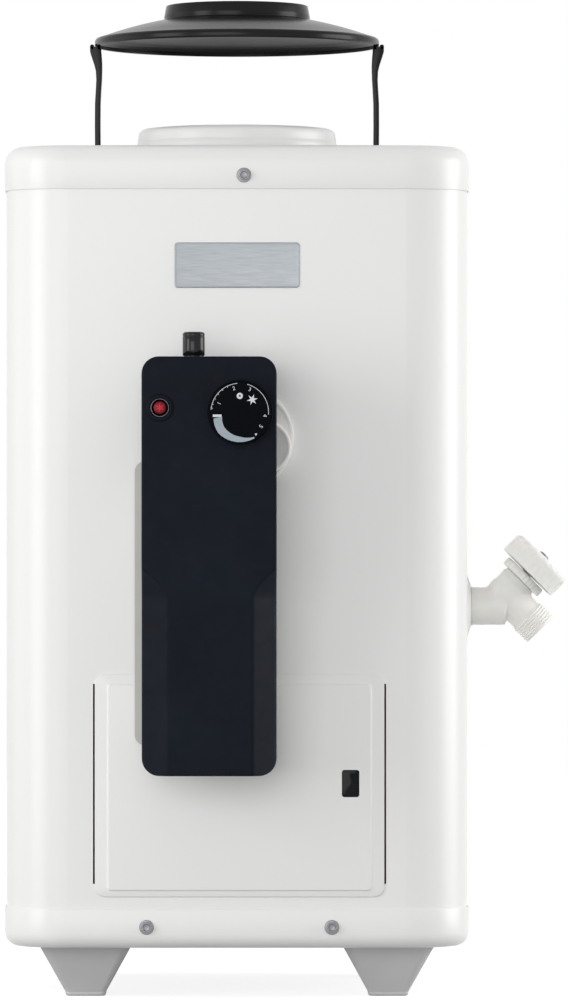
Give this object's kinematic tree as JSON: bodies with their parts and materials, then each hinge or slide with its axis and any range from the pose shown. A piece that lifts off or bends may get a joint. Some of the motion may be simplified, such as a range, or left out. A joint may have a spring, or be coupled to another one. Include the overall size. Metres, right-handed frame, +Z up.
{
  "type": "gas water heater",
  "caption": "Floor-standing gas storage water heater: white rounded-square casing on feet, draft hood on legs, control box with dial, burner door and drain valve.",
  "frame": {"origin": "on the floor under the middle of the whole object's box", "axes": "+Z up, the front with the controls faces -Y, the drain valve stands out to +X"},
  "size_m": [0.4036, 0.4406, 0.7127],
  "materials": {
    "white_enamel": "gloss white baked enamel",
    "foot_grey": "moulded mid grey, faint texture",
    "hood_black": "satin black heat-proof paint",
    "zinc_steel": "bright zinc plate",
    "nameplate_metal": "brushed, clear lacquer",
    "tank_steel": "glass-lined steel, dark outside",
    "flue_steel": "aluminised steel",
    "foam": "rigid polyurethane foam, matt",
    "anode_metal": "cast magnesium",
    "burner_iron": "as cast",
    "brass": "machined",
    "copper": "drawn copper tube",
    "pipe_aluminium": "drawn tube",
    "electrode_ceramic": "glazed insulator with a steel pin",
    "galvanised_pipe": "galvanised nipple",
    "black_plastic": "near-black moulded, fine texture",
    "dial_black": "gloss black with pale printed marks",
    "valve_cast": "die cast",
    "offwhite_plastic": "moulded off-white",
    "inlet_dark": "glossy dark plated flare nipple",
    "igniter_red": "gloss dark red",
    "window_glass": "dark ceramic glass",
    "drain_nylon": "off-white nylon, slightly translucent",
    "rubber_seal": "moulded seat washer"
  },
  "bodies": {
    "root": {"jacket_shell": "white_enamel", "top_cover": "white_enamel", "base_tray": "white_enamel", "flue_collar": "white_enamel", "foot_front_left": "foot_grey", "foot_front_right": "foot_grey", "foot_rear_left": "foot_grey", "foot_rear_right": "foot_grey", "foot_bolts": "zinc_steel", "cover_screws": "zinc_steel", "tray_screws": "zinc_steel", "pilot_bracket": "zinc_steel", "burner_bracket": "zinc_steel", "nameplate": "nameplate_metal", "tank_shell": "tank_steel", "tank_top_head": "tank_steel", "tank_bottom_head": "tank_steel", "tank_skirt": "tank_steel", "flue_tube": "flue_steel", "flue_baffle": "flue_steel", "floor_shield": "flue_steel", "insulation": "foam", "anode_rod": "anode_metal", "burner": "burner_iron", "orifice_fitting": "brass", "pilot_burner": "brass", "thermocouple_lead": "copper", "thermocouple": "copper", "gas_feed_pipe": "pipe_aluminium", "pilot_pipe": "pipe_aluminium", "spark_electrode": "electrode_ceramic", "cold_inlet_nipple": "galvanised_pipe", "hot_outlet_nipple": "galvanised_pipe", "control_cover": "black_plastic", "igniter_bezel": "black_plastic", "igniter_body": "black_plastic", "gas_valve": "valve_cast", "rear_plate": "offwhite_plastic", "thermostat_escutcheon": "offwhite_plastic", "gas_inlet_nipple": "inlet_dark", "drain_flange": "drain_nylon", "drain_body": "drain_nylon", "drain_bonnet_nut": "drain_nylon"},
    "hood": {"draft_hood": "hood_black", "hood_leg_left": "hood_black", "hood_leg_right": "hood_black"},
    "spindle": {"dial_spindle": "valve_cast"},
    "dial": {"dial_knob": "dial_black"},
    "igniter": {"igniter_button": "igniter_red"},
    "door": {"access_door": "white_enamel", "sight_glass": "window_glass"},
    "seat_washer": {"drain_washer": "rubber_seal"},
    "drain_screw": {"drain_stem": "drain_nylon", "drain_handle": "drain_nylon", "drain_handle_screw": "zinc_steel"}
  },
  "joints": [
    {"name": "hood_lift", "type": "slide", "parent": "root", "child": "hood", "axis": [0, 0, 1], "range_m": [0, 0.03]},
    {"name": "dial_turn", "type": "hinge", "parent": "root", "child": "spindle", "pos_m": [-0.03487, -0.20335, 0.4125], "axis": [0, -1, 0], "range_deg": [-180, 115]},
    {"name": "dial_push", "type": "slide", "parent": "spindle", "child": "dial", "axis": [0, 1, 0], "range_m": [0, 0.004], "stiffness_N_per_m": 900, "springref_m": -0.002},
    {"name": "igniter_push", "type": "slide", "parent": "root", "child": "igniter", "axis": [0, 1, 0], "range_m": [0, 0.003], "stiffness_N_per_m": 1500, "springref_m": -0.002},
    {"name": "door_swing", "type": "hinge", "parent": "root", "child": "door", "pos_m": [-0.03497, -0.13365, 0.2296], "axis": [-1, 0, 0], "range_deg": [0, 16]},
    {"name": "drain_lift", "type": "slide", "parent": "root", "child": "seat_washer", "axis": [0.7071, 0, 0.7071], "range_m": [0, 0.006]},
    {"name": "drain_turn", "type": "hinge", "parent": "seat_washer", "child": "drain_screw", "pos_m": [0.15853, 0.03035, 0.2845], "axis": [0.7071, 0, 0.7071], "range_deg": [0, 720]}
  ],
  "couplings": [
    {"joint": "drain_turn", "follows": "drain_lift", "rad_per_m": 2094.4}
  ]
}
